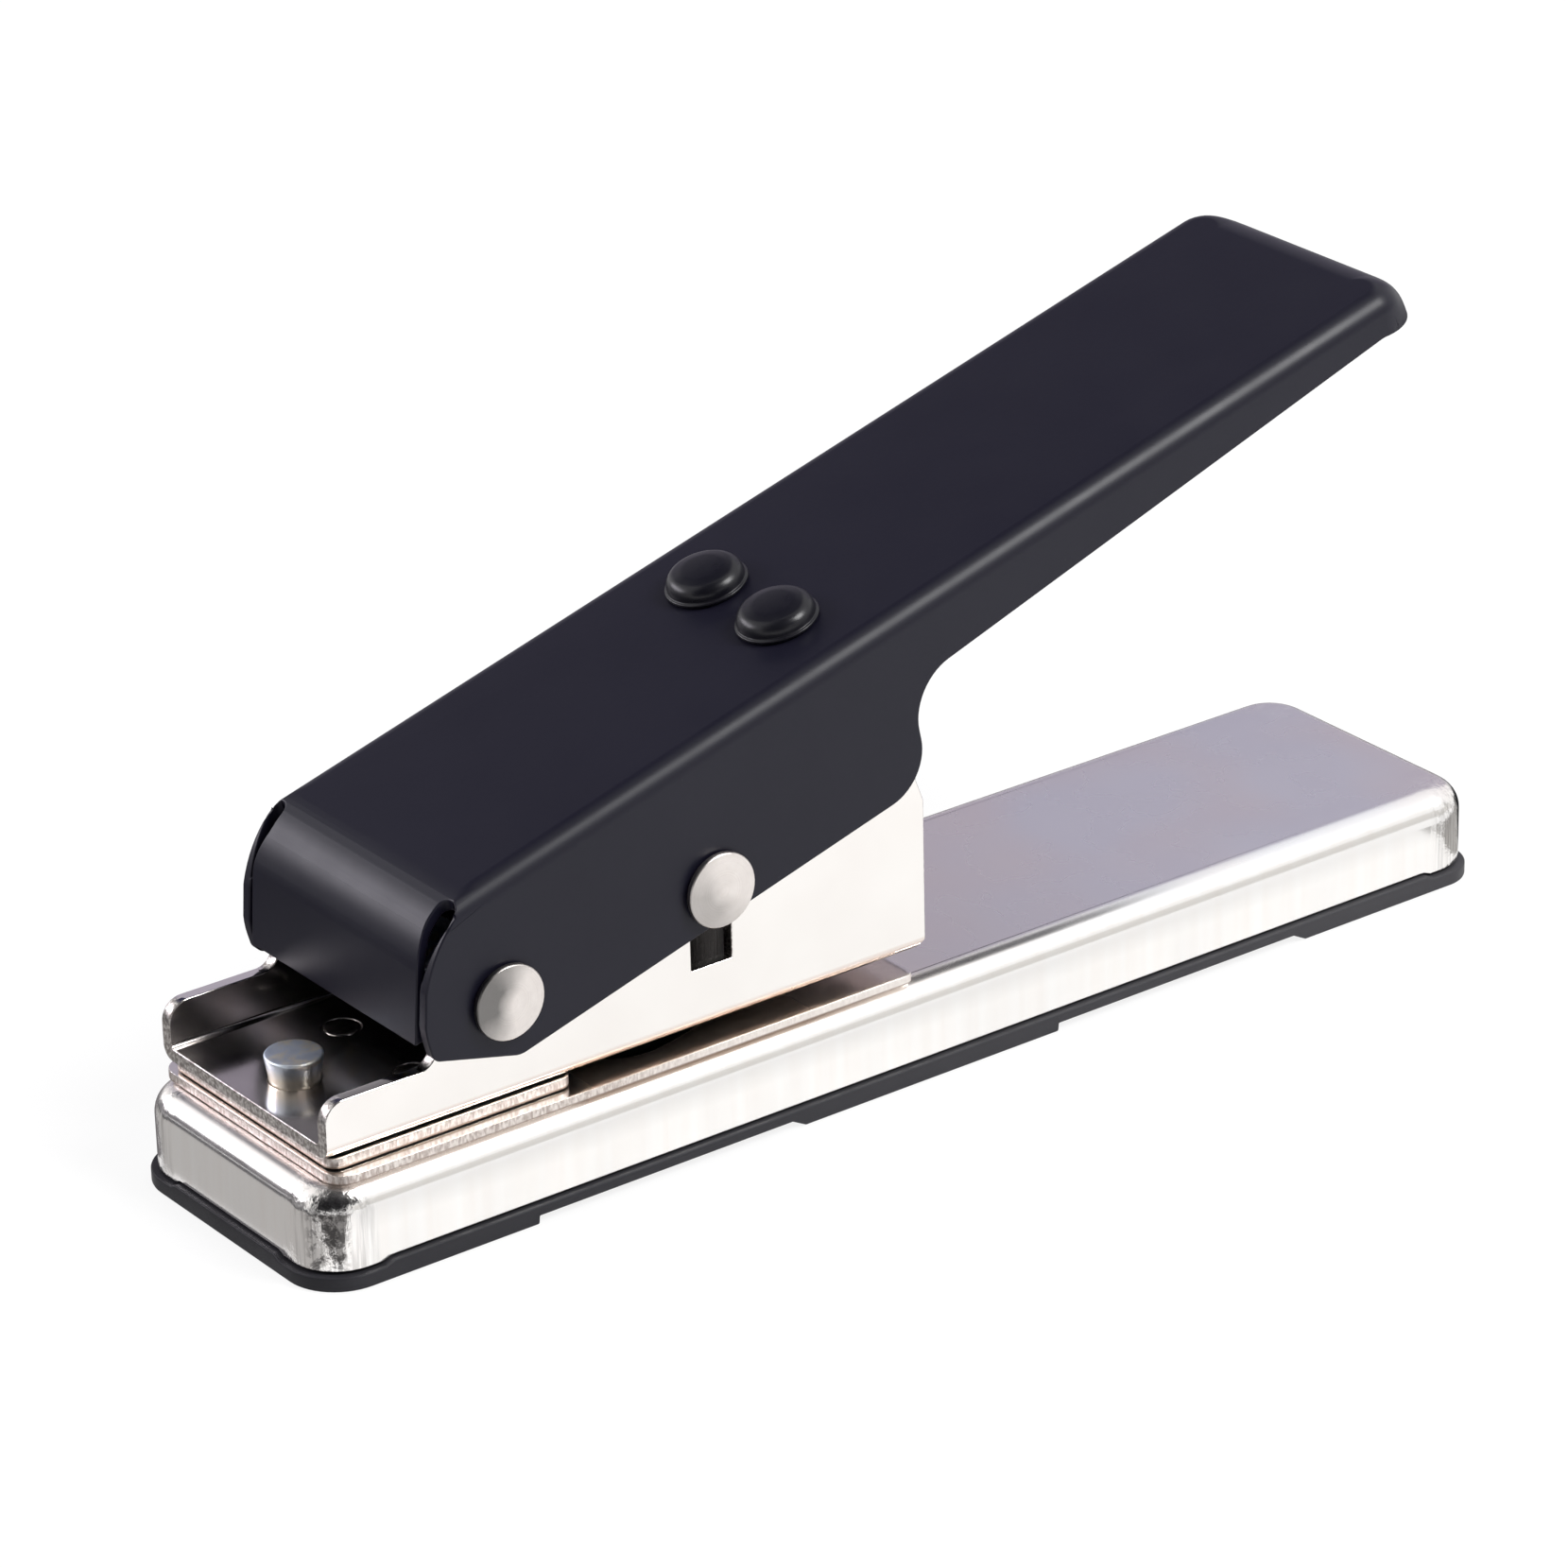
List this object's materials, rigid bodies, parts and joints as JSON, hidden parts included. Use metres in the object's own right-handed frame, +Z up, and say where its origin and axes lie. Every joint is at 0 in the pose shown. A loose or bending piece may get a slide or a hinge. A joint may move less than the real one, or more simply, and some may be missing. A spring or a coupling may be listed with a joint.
{
  "type": "guitar pick punch",
  "caption": "Hand lever punch: pressing the handle drives a pick-shaped punch through a card slid into the throat, and the cut pick drops into the base tray.",
  "frame": {"origin": "middle of the underside of the base tray's foot bars", "axes": "+X along the base towards the handle's free end, +Y across the base to the left of the card throat, +Z up"},
  "size_m": [0.156, 0.0362, 0.0725],
  "materials": {
    "tray_plastic": "fine matt moulded plastic, dark grey",
    "nickel_plate": "bright nickel plating on drawn and folded sheet steel",
    "plate_steel": "plated flat steel with sheared edges",
    "turned_nickel": "nickel plated, with fine turning marks on the heads",
    "zinc_plate": "bluish bright zinc plating",
    "black_paint": "satin black baked paint",
    "tool_steel": "blackened tool steel, ground on its faces",
    "spring_steel": "tempered spring strip"
  },
  "bodies": {
    "base": {"base_tray": "tray_plastic", "base_shell": "nickel_plate", "die_plate": "plate_steel", "spacer_plate": "plate_steel", "frame_channel": "nickel_plate", "front_post": "zinc_plate", "stack_rivet_left": "turned_nickel", "stack_rivet_right": "turned_nickel", "die_rivet_left": "plate_steel", "die_rivet_right": "plate_steel", "pivot_pin": "turned_nickel", "pivot_sleeve": "zinc_plate"},
    "lever": {"lever_handle": "black_paint", "driver_pin": "turned_nickel", "handle_rivet_left": "black_paint", "handle_rivet_right": "black_paint", "return_spring": "spring_steel"},
    "punch_block": {"punch": "tool_steel"}
  },
  "joints": [
    {"name": "lever_press", "type": "hinge", "parent": "base", "child": "lever", "pos_m": [-0.0537, 0, 0.0256], "axis": [0, 1, 0], "range_deg": [0, 15], "stiffness_Nm_per_rad": 0.9, "springref_deg": -20.05, "deforming": ["return_spring"]},
    {"name": "punch_stroke", "type": "slide", "parent": "base", "child": "punch_block", "axis": [0, 0, -1], "range_m": [0, 0.007]}
  ],
  "couplings": [
    {"joint": "punch_stroke", "follows": "lever_press", "m_per_rad": 0.02666}
  ]
}
